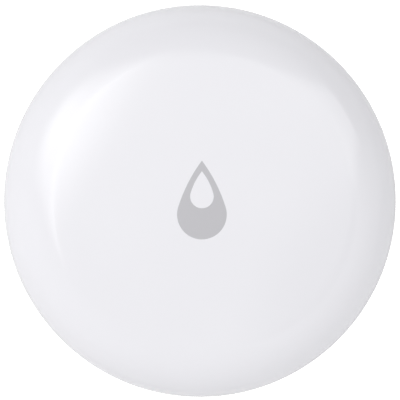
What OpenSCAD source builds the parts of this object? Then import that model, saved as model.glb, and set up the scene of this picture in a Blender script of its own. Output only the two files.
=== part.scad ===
// Round water leak sensor that lies on the floor. A domed white cover is pressed as one large button,
// two metal probes under the base feel the water, and a quarter-turn door holds the coin cell.
// Millimetres, +Z up, origin on the floor under the middle of the body. The drop's tip points to +Y.

/* [Body] */
// Diameter of the body at its widest line
body_d = 50; // [49:0.5:58]
// Overall height, from the floor to the top of the crown
body_h = 15; // [14.5:0.25:18]
// Width of the rounded shoulder, from the edge of the crown to the side
shoulder_w = 6.25; // [5.5:0.25:7]
// Slope of the crown where it meets the shoulder, in degrees
crown_slope = 5.5; // [3:0.5:7]
// Wall of the top cover
cover_wall = 1.5; // [1.2:0.1:1.7]
// Wall of the base
base_wall = 1.4; // [1.2:0.1:1.6]
// Radius of the rounded lower edge of the base
base_round = 5; // [4.4:0.2:5.4]
// Height of the cover's straight skirt below the shoulder
skirt_h = 2; // [1.8:0.1:2.4]
// Height of the moulded feet
foot_h = 0.6; // [0.5:0.1:0.8]
// Diameter of a foot
foot_d = 3; // [2:0.5:3.5]
// Width of flat underside left outside each foot
foot_edge = 1; // [0.5:0.25:1.5]

/* [Press action] */
// Travel of the cover when it is pressed
press_travel = 0.3; // [0.2:0.05:0.4]
// Seam left open at full press
seam_spare = 0.2; // [0.1:0.05:0.3]
// Gap between the cover's skirt and the collar that guides it
guide_gap = 0.15; // [0.1:0.05:0.25]
// Length of collar inside the skirt
collar_engage = 2; // [1.9:0.1:2.2]
// Thickness of the collar
collar_t = 1.8; // [1.6:0.1:2]
// Height of the rubber seal on the collar
seal_h = 1; // [0.8:0.1:1.2]
// Number of snap hooks inside the skirt
hook_count = 4; // [3:1:6]
// Length of a hook around the skirt
hook_w = 5; // [3:0.5:6]
// Reach of a hook into the collar
hook_reach = 0.9; // [0.7:0.05:1]
// Height of a hook
hook_h = 0.75; // [0.6:0.05:0.8]
// Diameter of the post that presses the switch
post_d = 3; // [2:0.5:4]

/* [Drop mark] */
// Width of the printed drop
drop_w = 6.3; // [4:0.1:8]
// Height of the printed drop
drop_h = 10; // [8.5:0.1:12]
// Radius of the drop's bowed sides
drop_side_r = 20; // [12:1:40]
// Width of the clear drop inside it
drop_hole_w = 3; // [2:0.1:3.4]
// Height of the clear drop inside it
drop_hole_h = 4.7; // [4:0.1:5.5]
// Radius of the clear drop's bowed sides
drop_hole_side_r = 8; // [5:0.5:12]
// Distance from the drop's tip to the clear drop's tip
drop_tip_web = 1.35; // [1:0.05:1.6]
// Depth of the mark in the crown
mark_t = 0.15; // [0.1:0.05:0.3]

/* [Coin cell] */
// Diameter of the cell
cell_d = 20; // [19.5:0.1:20.2]
// Height of the cell
cell_h = 3.2; // [2.5:0.1:3.3]
// Gap around the cell in its bay
cell_gap = 0.3; // [0.2:0.05:0.4]
// Thickness of the cell's metal skin
cell_skin = 0.3; // [0.2:0.05:0.35]
// Room for the contacts between the cell and the board
contact_room = 1.35; // [1.1:0.05:1.6]

/* [Battery door] */
// Thickness of the door's disc
door_t = 1.4; // [1.3:0.1:1.6]
// Ledge of the disc outside the bore
door_rim = 1.15; // [1:0.05:1.3]
// Height of the door's plug inside the bore
plug_h = 1.65; // [1.5:0.05:1.8]
// Wall of the plug behind the seal's groove
plug_wall = 1; // [0.8:0.1:1.1]
// Thickness of the door's seal ring
door_seal_d = 0.9; // [0.7:0.05:1]
// Running gap around the door
door_gap = 0.1; // [0.08:0.01:0.15]
// Number of lugs on the door
lug_count = 3; // [2:1:3]
// Angle that a lug takes up around the door
lug_angle = 18; // [12:1:20]
// Reach of a lug outside the disc
lug_reach = 1.2; // [0.8:0.1:1.3]
// Thickness of a lug
lug_t = 0.7; // [0.5:0.05:0.75]
// Gap around a lug in its groove
lug_gap = 0.12; // [0.08:0.01:0.15]
// Drop of the door in one whole turn
lug_lead = 12; // [11:0.5:14]
// Length of the coin slot
slot_l = 14; // [10:0.5:16]
// Width of the coin slot
slot_w = 1.8; // [1.6:0.1:2.4]
// Depth of the coin slot
slot_depth = 0.8; // [0.6:0.05:0.9]
// Depth of the arrow and of the lock marks
index_depth = 0.2; // [0.1:0.05:0.3]

/* [Probes] */
// Distance between the two probes
probe_pitch = 35; // [34.6:0.1:35.6]
// Diameter of a probe's head
probe_head_d = 4; // [3:0.1:4.2]
// Thickness of a probe's head
probe_head_t = 0.9; // [0.7:0.05:1]
// Height of the probes' faces above the floor
probe_lift = 0.2; // [0.1:0.05:0.3]
// Diameter of a probe's shank
probe_shank_d = 1.6; // [1.2:0.1:1.8]
// Thickness of a probe's seal ring
probe_seal_d = 0.8; // [0.6:0.05:0.9]
// Length of shank that stands out of the board
probe_tail = 0.8; // [0.5:0.1:1.2]

/* [Circuit board] */
// Thickness of the board
board_t = 1; // [0.8:0.1:1.2]
// Gap between the board's edge and the collar
board_gap = 1.05; // [0.5:0.05:1.2]
// Distance of the screws from the board's edge
screw_edge = 2.4; // [2.2:0.1:3]
// Diameter of the screws' shanks
screw_d = 1.5; // [1.2:0.1:1.8]
// Diameter of the screws' heads
screw_head_d = 3.2; // [2.6:0.1:3.6]
// Height of the screws' heads
screw_head_h = 1.1; // [0.8:0.1:1.4]
// Length of the screws below the board
screw_l = 3.4; // [2.5:0.1:3.6]

/* [Switch] */
// Width of the switch's square housing
switch_w = 6; // [5.6:0.1:7]
// Height of the switch's housing
switch_body_h = 2.6; // [2.5:0.1:3]
// Height of the switch with its plunger
switch_h = 4.3; // [3.8:0.1:4.6]
// Diameter of the plunger
plunger_d = 3.4; // [2.8:0.1:3.6]

/* [Hidden] */
$fn = 96;
// Facets of the crown's large circle
crown_fn = 240;
// Overlap that joins two pieces of one solid
bite = 0.2;
// Smallest gap, between pieces that seat on each other
fit_gap = 0.03;

// Places around the middle, in degrees from +X
screw_angles = [30, 150, 270];
probe_angles = [0, 180];
lug_first_angle = 90;
hook_first_angle = 45;
clip_angle = 90;
arrow_angle = 240;

// Outer shape: a shallow crown, a round shoulder, a straight side and a rounded lower edge
body_r = body_d / 2;
crown_edge_r = body_r - shoulder_w;
crown_r = crown_edge_r / sin(crown_slope);
shoulder_round = shoulder_w / (1 - sin(crown_slope));
shoulder_r = body_r - shoulder_round;
shoulder_z = body_h - crown_r * (1 - cos(crown_slope)) - shoulder_round * cos(crown_slope);
cover_z = shoulder_z - skirt_h;
seam_z = cover_z - press_travel - seam_spare;
base_z = foot_h;
base_flat_r = body_r - base_round;
floor_z = base_z + base_wall;
foot_r = base_flat_r - foot_edge - foot_d / 2;

// Guide of the cover: skirt, collar, seal and hooks
skirt_in_r = body_r - cover_wall;
collar_r = skirt_in_r - guide_gap;
collar_in_r = collar_r - collar_t;
collar_top_z = cover_z + collar_engage;
ledge_t = 1.2;
seal_edge = 0.25;
seal_top_z = collar_top_z + seal_h;
hook_r = skirt_in_r - hook_reach;
hook_play = 0.05;
pocket_bar = 0.45;
pocket_top_z = collar_top_z - pocket_bar;
hook_top_z = pocket_top_z - hook_play;
hook_z = hook_top_z - hook_h;
hook_lead_in = 0.4;
pocket_z = hook_z - press_travel - seam_spare;
pocket_side = 0.5;
web_t = 1;
web_reach = 3;
web_lift = 0.75;

// Battery door and bay, from the cell outwards
cell_r = cell_d / 2;
bay_cell_r = cell_r + cell_gap;
groove_r = bay_cell_r + plug_wall;
bay_bore_r = groove_r + door_seal_d + 2 * fit_gap;
plug_r = bay_bore_r - door_gap;
door_r = bay_bore_r + door_rim;
recess_r = door_r + door_gap;
lug_r = door_r + lug_reach;
lug_groove_r = lug_r + lug_gap;
lug_wall = 1;
bay_wall = 1.3;
bay_foot_r = lug_groove_r + lug_wall;
bay_foot_h = 1.2;

// Heights, from the floor up
door_seat_z = base_z + door_t;
plug_top_z = door_seat_z + plug_h;
bay_step_z = plug_top_z + door_gap;
cell_seat_gap = 0.05;
cell_z = door_seat_z + cell_seat_gap;
cell_top_z = cell_z + cell_h;
bay_top_z = cell_top_z + cell_gap;
board_z = cell_top_z + contact_room;
board_top_z = board_z + board_t;
plunger_top_z = board_top_z + switch_h;
post_gap = 0.05;
post_z = plunger_top_z + post_gap;
lug_z = base_z + door_t / 2;

// Board, screws and probes
board_r = collar_in_r - board_gap;
screw_r = board_r - screw_edge;
boss_wall = 1.2;
boss_r = screw_d / 2 + boss_wall;
screw_tip_gap = 0.4;
probe_r = probe_pitch / 2;
probe_shank_r = probe_shank_d / 2;
probe_seat_z = probe_lift + probe_head_t;
probe_seal_r = probe_shank_r + fit_gap + probe_seal_d / 2;
probe_seal_bore_r = probe_seal_r + probe_seal_d / 2 + fit_gap;
probe_boss_wall = 0.9;
probe_boss_h = 1;
probe_top_z = board_top_z + probe_tail;

// Spring strip of the cell's contacts
strip_t = 0.25;
strip_w = 4;

// A straight tube, or a disc where the inner radius is 0
module tube(r_in, r_out, z_low, z_high) {
  translate([0, 0, z_low])
    difference() {
      cylinder(h = z_high - z_low, r = r_out);
      if (r_in > 0)
        translate([0, 0, -bite]) cylinder(h = z_high - z_low + 2 * bite, r = r_in);
    }
}

// A box that is centred in X and Y and stands on a height
module block(size, z_low) {
  translate([-size[0] / 2, -size[1] / 2, z_low]) cube(size);
}

// Copies at a distance from the middle, at each of the angles
module around(angles, r) {
  for (a = angles)
    rotate(a) translate([r, 0, 0]) children();
}

// A ring sector of a section rectangle, centred on angle 0
module sector(r_in, r_out, z_low, z_high, angle) {
  rotate(-angle / 2)
    rotate_extrude(angle = angle)
      translate([r_in, z_low]) square([r_out - r_in, z_high - z_low]);
}

// Evenly spread angles, from a first one
function spread(first, count) = [for (i = [0 : count - 1]) first + i * 360 / count];

// Half section of the whole body, taken in from its outside by an inset
module body_half(inset) {
  round_r = shoulder_round - inset;
  tangent_r = shoulder_r + round_r * sin(crown_slope);
  intersection() {
    translate([0, body_h - crown_r]) circle(crown_r - inset, $fn = crown_fn);
    translate([0, shoulder_z]) square([tangent_r, body_h - shoulder_z]);
  }
  intersection() {
    translate([shoulder_r, shoulder_z]) circle(round_r);
    translate([tangent_r, shoulder_z]) square([body_r - tangent_r, round_r]);
  }
  square([body_r - inset, shoulder_z]);
}

// Half section of the base up to the seam, taken in from its outside by an inset
module base_half(inset) {
  translate([0, base_z + inset]) square([base_flat_r, seam_z - base_z - inset]);
  intersection() {
    translate([base_flat_r, base_z + base_round]) circle(base_round - inset);
    translate([base_flat_r, base_z]) square([base_round, min(seam_z - base_z, base_round)]);
  }
  if (seam_z > base_z + base_round)
    translate([0, base_z + base_round]) square([body_r - inset, seam_z - base_z - base_round]);
}

// Layer that follows the crown, between two depths below its face
module crown_layer(r, depth_high, depth_low) {
  rotate_extrude()
    intersection() {
      translate([0, body_h - crown_r])
        difference() {
          circle(crown_r - depth_high, $fn = crown_fn);
          circle(crown_r - depth_low, $fn = crown_fn);
        }
      translate([0, shoulder_z]) square([r, body_h]);
    }
}

// Points on an arc around a centre, from one angle to another
function arc(centre, r, from, to, steps) = [
  for (i = [0 : steps])
    let (a = from + (to - from) * i / steps)
      centre + r * [cos(a), sin(a)]
];

// Outline of a drop with its tip at [0, 0]: a round belly and two bowed sides that touch it
function drop_points(w, h, side_r) =
  let (
    belly_r = w / 2,
    tip = h - belly_r,
    side_y = (tip * tip + belly_r * belly_r - 2 * side_r * belly_r) / (2 * tip),
    side_x = sqrt(pow(side_r - belly_r, 2) - side_y * side_y),
    touch = atan2(-side_y, side_x),
    end = atan2(tip - side_y, side_x),
    steps = 12,
    belly = arc([0, -tip], belly_r, 180 - touch, 360 + touch, 3 * steps),
    right = arc([-side_x, side_y - tip], side_r, touch, end, steps),
    left = arc([side_x, side_y - tip], side_r, 180 - end, 180 - touch, steps)
  )
  concat(
    belly,
    [for (i = [1 : steps - 1]) right[i]],
    [[0, 0]],
    [for (i = [1 : steps - 1]) left[i]]
  );

module drop_outline(w, h, side_r) {
  polygon(drop_points(w, h, side_r));
}

// Prism of the mark, with its clear drop, through the crown
module drop_prism() {
  translate([0, drop_h / 2, shoulder_z])
    linear_extrude(height = body_h)
      difference() {
        drop_outline(drop_w, drop_h, drop_side_r);
        translate([0, -drop_tip_web]) drop_outline(drop_hole_w, drop_hole_h, drop_hole_side_r);
      }
}

// Pocket of the mark, open at the top
module mark_pocket() {
  intersection() {
    drop_prism();
    crown_layer(drop_h, -bite, mark_t);
  }
}

// Post under the crown, with four webs
module cover_post() {
  post_top_z = body_h - cover_wall / 2;
  web_z = post_z + web_lift;
  tube(0, post_d / 2, post_z, post_top_z);
  for (a = [0, 90])
    rotate(a) block([post_d + 2 * web_reach, web_t, post_top_z - web_z], web_z);
}

// Snap hook on the inside of the skirt, with a sloped lower face
module cover_hook() {
  angle = hook_w / skirt_in_r * 180 / PI;
  rotate(-angle / 2)
    rotate_extrude(angle = angle)
      polygon([
        [skirt_in_r + bite, hook_z],
        [skirt_in_r, hook_z],
        [hook_r, hook_z + hook_lead_in],
        [hook_r, hook_top_z],
        [skirt_in_r + bite, hook_top_z]
      ]);
}

// Thin spot in the crown that lets the lamp's light through
module glow_well() {
  glow_r = 1.5;
  glow_wall = 0.8;
  fall = crown_r - sqrt(crown_r * crown_r - led_at[1] * led_at[1]);
  translate([led_at[0], led_at[1], 0])
    tube(0, glow_r, board_top_z, body_h - fall - glow_wall);
}

module top_cover() {
  color("whitesmoke")
    difference() {
      union() {
        rotate_extrude()
          difference() {
            body_half(0);
            body_half(cover_wall);
            square([body_r + bite, cover_z]);
          }
        rotate_extrude()
          intersection() {
            body_half(cover_wall / 2);
            translate([collar_in_r + seal_edge, seal_top_z])
              square([collar_t - 2 * seal_edge, body_h]);
          }
        cover_post();
        around(spread(hook_first_angle, hook_count), 0) cover_hook();
      }
      mark_pocket();
      glow_well();
    }
}

module drop_mark() {
  color("silver")
    intersection() {
      drop_prism();
      crown_layer(drop_h, 0, mark_t);
    }
}

module cover_seal() {
  color("dimgray")
    tube(collar_in_r + seal_edge, collar_r - seal_edge, collar_top_z, seal_top_z);
}

// Stretch of a helix with a rectangular section, from one angle to another; it climbs with the angle
module helix_band(angle_low, angle_high, r_in, r_out, z_mid, t) {
  steps = ceil((angle_high - angle_low) / 3);
  corners = [[r_in, -t / 2], [r_out, -t / 2], [r_out, t / 2], [r_in, t / 2]];
  points = [
    for (i = [0 : steps], c = corners)
      let (a = angle_low + (angle_high - angle_low) * i / steps)
        [c[0] * cos(a), c[0] * sin(a), z_mid + c[1] + lug_lead * a / 360]
  ];
  sides = [
    for (i = [0 : steps - 1], k = [0 : 3])
      let (p = 4 * i + k, q = 4 * i + (k + 1) % 4)
        each [[p, q, q + 4], [p, q + 4, p + 4]]
  ];
  last = 4 * steps;
  ends = [[0, 2, 1], [0, 3, 2], [last, last + 1, last + 2], [last, last + 2, last + 3]];
  polyhedron(points = points, faces = concat(sides, ends));
}

module door_lug() {
  helix_band(-lug_angle / 2, lug_angle / 2, door_r - 2 * bite, lug_r, lug_z, lug_t);
}

// Groove that a lug runs down and out of, below the underside of the base
module lug_groove() {
  t = lug_t + 2 * lug_gap;
  end_play = 1.5;
  way_out = (lug_z + t / 2 - base_z + bite) * 360 / lug_lead;
  helix_band(-way_out, lug_angle / 2 + end_play, recess_r - bite, lug_groove_r, lug_z, t);
}

// Arrow on the door, and the dot and ring on the base that it points at, sunk into the underside
module door_arrow() {
  arrow_l = 1.8;
  translate([0, 0, base_z - bite])
    linear_extrude(height = index_depth + bite)
      rotate(arrow_angle)
        polygon([
          [door_r - 0.7, 0],
          [door_r - 0.7 - arrow_l, arrow_l * 0.6],
          [door_r - 0.7 - arrow_l, -arrow_l * 0.6]
        ]);
}

module lock_marks() {
  mark_r = 0.6;
  ring_wall = 0.3;
  open_turn = 40;
  mark_at = bay_foot_r + mark_r;
  around([arrow_angle], mark_at)
    tube(0, mark_r, base_z - bite, base_z + index_depth);
  around([arrow_angle - open_turn], mark_at)
    tube(mark_r - ring_wall, mark_r, base_z - bite, base_z + index_depth);
}

// Shell of the base: dish, ledge at the seam and the collar that the cover slides on
module base_shell() {
  rotate_extrude() {
    difference() {
      base_half(0);
      base_half(base_wall);
    }
    intersection() {
      base_half(0);
      translate([collar_in_r, seam_z - ledge_t]) square([body_r, ledge_t]);
    }
  }
  tube(collar_in_r, collar_r, seam_z - ledge_t, collar_top_z);
}

// Stepped tube of the battery bay on its thick foot, which holds the lugs
module battery_bay() {
  tube(0, bay_foot_r, base_z, door_seat_z + bay_foot_h);
  tube(0, bay_bore_r + bay_wall, base_z, bay_top_z);
}

module bay_cuts() {
  clip_window_w = strip_w + 1;
  tube(0, recess_r, 0, door_seat_z);
  tube(0, bay_bore_r, base_z, bay_step_z);
  tube(0, bay_cell_r, base_z, bay_top_z + bite);
  around(spread(lug_first_angle, lug_count), 0) lug_groove();
  rotate(clip_angle)
    translate([cell_r, -clip_window_w / 2, bay_step_z + bite])
      cube([bay_bore_r + bay_wall + bite - cell_r, clip_window_w, bay_top_z]);
}

// Boss of a board screw
module screw_boss() {
  tube(0, boss_r, base_z + bite, board_z);
}

module screw_pilot() {
  tube(0, screw_d / 2 + fit_gap, board_z - screw_l - screw_tip_gap, board_z + bite);
}

// Boss of a probe, its head's recess and the seat of its seal
module probe_boss() {
  tube(0, probe_seal_bore_r + probe_boss_wall, base_z + bite, probe_seat_z + probe_seal_d + probe_boss_h);
}

module probe_bore() {
  tube(0, probe_head_d / 2 + door_gap, 0, probe_seat_z);
  tube(0, probe_seal_bore_r, 0, probe_seat_z + probe_seal_d + 2 * fit_gap);
  tube(0, probe_shank_r + fit_gap, 0, board_z);
}

module foot() {
  foot_chamfer = 0.2;
  cylinder(h = foot_chamfer, r1 = foot_d / 2 - foot_chamfer, r2 = foot_d / 2);
  tube(0, foot_d / 2, foot_chamfer, base_z + bite);
}

module base_housing() {
  pocket_angle = (hook_w + 2 * pocket_side) / skirt_in_r * 180 / PI;
  color("white")
    difference() {
      union() {
        base_shell();
        battery_bay();
        around(screw_angles, screw_r) screw_boss();
        around(probe_angles, probe_r) probe_boss();
        around(screw_angles, foot_r) foot();
      }
      bay_cuts();
      around(screw_angles, screw_r) screw_pilot();
      around(probe_angles, probe_r) probe_bore();
      around(spread(hook_first_angle, hook_count), 0)
        sector(hook_r - guide_gap, collar_r + bite, pocket_z, pocket_top_z, pocket_angle);
      lock_marks();
    }
}

module battery_door() {
  color("white")
    difference() {
      union() {
        tube(0, door_r, base_z, door_seat_z);
        tube(bay_cell_r, plug_r, door_seat_z - bite, plug_top_z);
        around(spread(lug_first_angle, lug_count), 0) door_lug();
      }
      tube(groove_r, plug_r + bite, door_seal_z - door_seal_d / 2 - fit_gap, door_seal_z + door_seal_d / 2 + fit_gap);
      coin_slot();
      door_arrow();
    }
}

// Height of the door's seal, in the middle of its groove
door_seal_z = door_seat_z + plug_h / 2;

// Slot with round ends across the door's outer face
module coin_slot() {
  end_x = (slot_l - slot_w) / 2;
  for (x = [-end_x, end_x])
    translate([x, 0, 0]) tube(0, slot_w / 2, 0, base_z + slot_depth);
  block([2 * end_x, slot_w, base_z + slot_depth], 0);
}

module battery_door_seal() {
  color("dimgray")
    rotate_extrude()
      translate([groove_r + fit_gap + door_seal_d / 2, door_seal_z]) circle(d = door_seal_d, $fn = 48);
}

// Coin cell: can with a crimped lip, sealing gasket, cap and the active filling
cell_edge = 0.4;
cell_lip_h = 0.25;
cell_cap_inset = 1.2;
gasket_t = 0.2;

module cell_ring(points) {
  translate([0, 0, cell_z]) rotate_extrude() polygon(points);
}

module coin_cell_can() {
  lip_z = cell_h - cell_edge;
  lip_r = cell_r - cell_cap_inset + gasket_t + 2 * fit_gap;
  color("silver")
    cell_ring([
      [0, 0],
      [cell_r - cell_edge, 0],
      [cell_r, cell_edge],
      [cell_r, lip_z - cell_edge],
      [lip_r + cell_edge, lip_z],
      [lip_r, lip_z],
      [lip_r, lip_z - cell_lip_h],
      [cell_r - cell_skin, lip_z - cell_edge - cell_lip_h],
      [cell_r - cell_skin, cell_skin],
      [0, cell_skin]
    ]);
}

module coin_cell_gasket() {
  lip_z = cell_h - cell_edge;
  gasket_r = cell_r - cell_cap_inset + fit_gap;
  skirt_z = cell_skin + fit_gap + gasket_t;
  color("black")
    cell_ring([
      [gasket_r - gasket_t, cell_skin + fit_gap],
      [cell_r - cell_skin - fit_gap, cell_skin + fit_gap],
      [cell_r - cell_skin - fit_gap, lip_z - cell_edge - cell_lip_h - fit_gap],
      [gasket_r + gasket_t, lip_z - cell_lip_h - fit_gap],
      [gasket_r + gasket_t, lip_z + fit_gap],
      [gasket_r, lip_z + fit_gap],
      [gasket_r, skirt_z],
      [gasket_r - gasket_t, skirt_z]
    ]);
}

module coin_cell_cap() {
  cap_r = cell_r - cell_cap_inset;
  skirt_z = cell_skin + gasket_t + 2 * fit_gap;
  color("gainsboro")
    cell_ring([
      [0, cell_h - cell_skin],
      [cap_r - cell_edge, cell_h - cell_skin],
      [cap_r - cell_skin, cell_h - cell_edge - cell_skin],
      [cap_r - cell_skin, skirt_z],
      [cap_r, skirt_z],
      [cap_r, cell_h - cell_edge],
      [cap_r - cell_edge, cell_h],
      [0, cell_h]
    ]);
}

module coin_cell_pellet() {
  pellet_r = cell_r - cell_cap_inset - cell_edge - gasket_t;
  color("darkslategray")
    tube(0, pellet_r, cell_z + cell_skin, cell_z + cell_h - cell_skin - fit_gap);
}

// Spring strip: a line of [along, height] points with the strip's thickness added in one direction
module strip(points, add, w) {
  rotate([90, 0, 0])
    translate([0, 0, -w / 2])
      linear_extrude(height = w)
        polygon(concat(points, [for (i = [len(points) - 1 : -1 : 0]) points[i] + add]));
}

// Side contact: soldered under the board, bowed against the can
module cell_positive_clip() {
  leg = 0.6;
  bow_z = cell_top_z - cell_h / 4;
  tip_z = bay_step_z + 2 * bite;
  foot_l = 2;
  color("goldenrod")
    rotate(clip_angle) {
      strip([
        [cell_r + leg, board_z - fit_gap],
        [cell_r + leg, cell_top_z],
        [cell_r + fit_gap, bow_z],
        [cell_r + leg, tip_z]
      ], [strip_t, 0], strip_w);
      translate([cell_r + leg, -strip_w / 2, board_z - fit_gap - strip_t])
        cube([foot_l, strip_w, strip_t]);
    }
}

// Middle contact: soldered under the board, bowed onto the cap
module cell_negative_spring() {
  foot_x = -9;
  knee_x = -6;
  pad = 0.8;
  curl = 0.4;
  low_z = cell_top_z + fit_gap;
  high_z = board_z - fit_gap - strip_t;
  color("goldenrod")
    strip([
      [foot_x, high_z],
      [knee_x, high_z],
      [-pad, low_z],
      [pad, low_z],
      [2 * pad, low_z + curl]
    ], [0, strip_t], strip_w);
}

module circuit_board() {
  hole_gap = 0.2;
  color("seagreen")
    difference() {
      tube(0, board_r, board_z, board_top_z);
      around(screw_angles, screw_r)
        tube(0, screw_d / 2 + hole_gap, board_z - bite, board_top_z + bite);
      around(probe_angles, probe_r)
        tube(0, probe_shank_r + fit_gap, board_z - bite, board_top_z + bite);
    }
}

// Pan-head screw with a cross slot
module board_screw() {
  slot_t = 0.4;
  slot_deep = 0.6;
  difference() {
    union() {
      tube(0, screw_d / 2, board_z - screw_l, board_top_z + bite);
      tube(0, screw_head_d / 2, board_top_z, board_top_z + screw_head_h);
    }
    for (a = [0, 90])
      rotate(a) block([screw_head_d * 0.6, slot_t, screw_head_h], board_top_z + screw_head_h - slot_deep);
  }
}

module board_screws() {
  color("lightsteelblue") around(screw_angles, screw_r) board_screw();
}

// Push switch: housing with a round well, metal frame, snap dome, plunger and four terminals
frame_t = 0.25;
well_z = board_top_z + 0.6;
well_r = switch_w * 0.4;
dome_h = 0.6;
dome_t = 0.1;
frame_z = board_top_z + switch_body_h;

module switch_housing() {
  color("black")
    difference() {
      block([switch_w, switch_w, switch_body_h], board_top_z);
      tube(0, well_r, well_z, frame_z + bite);
    }
}

module switch_frame() {
  color("silver")
    difference() {
      block([switch_w, switch_w, frame_t], frame_z);
      tube(0, plunger_d / 2 + door_gap, frame_z - bite, frame_z + frame_t + bite);
    }
}

// Shallow cap of a sphere that stands on the floor of the well
module switch_dome() {
  rim_r = well_r - 2 * door_gap;
  sphere_r = (rim_r * rim_r + dome_h * dome_h) / (2 * dome_h);
  color("lightgray")
    rotate_extrude()
      intersection() {
        translate([0, well_z + dome_h - sphere_r])
          difference() {
            circle(sphere_r, $fn = crown_fn);
            circle(sphere_r - dome_t, $fn = crown_fn);
          }
        translate([0, well_z]) square([rim_r, dome_h]);
      }
}

module switch_plunger() {
  nub_r = 0.5;
  flange_h = 0.7;
  flange_top_z = frame_z - fit_gap;
  color("dimgray") {
    tube(0, nub_r, well_z + dome_h + fit_gap, flange_top_z);
    tube(0, well_r - door_gap, flange_top_z - flange_h, flange_top_z);
    tube(0, plunger_d / 2, flange_top_z - bite, plunger_top_z);
  }
}

lead_t = 0.2;
lead_w = 0.7;
lead_l = 1.2;
lead_pitch = 4.5;
lead_rise = 0.8;

module switch_terminals() {
  color("silver")
    for (side = [0, 180], y = [-lead_pitch / 2, lead_pitch / 2])
      rotate(side)
        translate([switch_w / 2, y - lead_w / 2, board_top_z]) {
          cube([lead_l, lead_w, lead_t]);
          cube([lead_t, lead_w, lead_rise]);
        }
}

// Chips that are soldered to the board's upper face
chip_w = 6;
chip_h = 0.9;
chip_dot_r = 0.4;
chip_edge = 10.5;
chip_y = 6.5;
chip_at = [chip_edge - board_r, chip_y];
crystal_can = [3.2, 2.5, 0.5];
crystal_lid = [2.8, 2.1, 0.3];
crystal_at = [chip_edge - board_r, 0];
led_size = [2, 1.25, 0.5];
led_lens_r = 0.55;
led_y = 8.5;
led_at = [0, led_y];
row_part = [1.6, 0.8, 0.5];
row_pitch = [2.6, 1.6];
row_columns = 3;
row_gap = 1.9;
row_at = [switch_w / 2 + lead_l + row_gap + row_part[0] / 2, 0];

module radio_chip() {
  color("black")
    translate([chip_at[0], chip_at[1], 0])
      difference() {
        block([chip_w, chip_w, chip_h], board_top_z);
        translate([-chip_w / 2 + 3 * chip_dot_r, chip_w / 2 - 3 * chip_dot_r, 0])
          tube(0, chip_dot_r, board_top_z + chip_h - index_depth / 2, board_top_z + 2 * chip_h);
      }
}

module crystal() {
  color("silver")
    translate([crystal_at[0], crystal_at[1], 0]) {
      block(crystal_can, board_top_z);
      block(crystal_lid, board_top_z + crystal_can[2]);
    }
}

module status_led() {
  color("lightblue")
    translate([led_at[0], led_at[1], 0]) {
      block(led_size, board_top_z);
      tube(0, led_lens_r, board_top_z + led_size[2] - bite / 2, board_top_z + led_size[2] + bite);
    }
}

// Rows of resistors and capacitors beside the switch
module chip_parts() {
  rows = 5;
  color("saddlebrown")
    for (i = [0 : row_columns - 1], j = [0 : rows - 1])
      translate([
        row_at[0] + i * row_pitch[0],
        row_at[1] + (j - (rows - 1) / 2) * row_pitch[1],
        0
      ])
        block(row_part, board_top_z);
}

// Printed aerial: a copper track folded to and fro near the board's edge
track_w = 0.6;
track_fold = 1.6;
track_reach = 4;
track_t = 0.1;

module antenna_trace() {
  folds = 8;
  left = -folds * track_fold / 2;
  low = board_r - 3 * track_reach / 2 - track_w;
  color("peru")
    translate([0, 0, board_top_z])
      linear_extrude(height = track_t) {
        for (i = [0 : folds])
          translate([left + i * track_fold, low]) square([track_w, track_reach]);
        for (i = [0 : folds - 1])
          translate([left + i * track_fold, low + (i % 2 == 0 ? track_reach - track_w : 0)])
            square([track_fold + track_w, track_w]);
      }
}

// Turned pin with a broad, slightly rounded head; its tail is soldered in the board
module probe_pin() {
  head_r = probe_head_d / 2;
  head_round = 0.25;
  tail_chamfer = 0.2;
  rotate_extrude()
    polygon([
      [0, probe_lift],
      [head_r - head_round, probe_lift],
      [head_r, probe_lift + head_round],
      [head_r, probe_seat_z],
      [probe_shank_r, probe_seat_z],
      [probe_shank_r, probe_top_z - tail_chamfer],
      [probe_shank_r - tail_chamfer, probe_top_z],
      [0, probe_top_z]
    ]);
}

module probe_left() {
  color("silver") around([probe_angles[1]], probe_r) probe_pin();
}

module probe_right() {
  color("silver") around([probe_angles[0]], probe_r) probe_pin();
}

module probe_seals() {
  color("dimgray")
    around(probe_angles, probe_r)
      translate([0, 0, probe_seat_z + fit_gap + probe_seal_d / 2])
        rotate_extrude()
          translate([probe_seal_r, 0]) circle(d = probe_seal_d, $fn = 48);
}

// Cone of solder around each probe's tail
solder_w = 0.7;
solder_top_w = 0.15;
solder_h = 0.56;

module probe_solder() {
  color("gainsboro")
    around(probe_angles, probe_r)
      rotate_extrude()
        polygon([
          [probe_shank_r, board_top_z],
          [probe_shank_r + solder_w, board_top_z],
          [probe_shank_r + solder_top_w, board_top_z + solder_h],
          [probe_shank_r, board_top_z + solder_h]
        ]);
}

top_cover();
drop_mark();
cover_seal();
base_housing();
circuit_board();
board_screws();
switch_housing();
switch_frame();
switch_dome();
switch_plunger();
switch_terminals();
radio_chip();
crystal();
status_led();
chip_parts();
antenna_trace();
cell_positive_clip();
cell_negative_spring();
coin_cell_can();
coin_cell_gasket();
coin_cell_cap();
coin_cell_pellet();
battery_door();
battery_door_seal();
probe_left();
probe_right();
probe_seals();
probe_solder();
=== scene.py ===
import math

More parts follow.
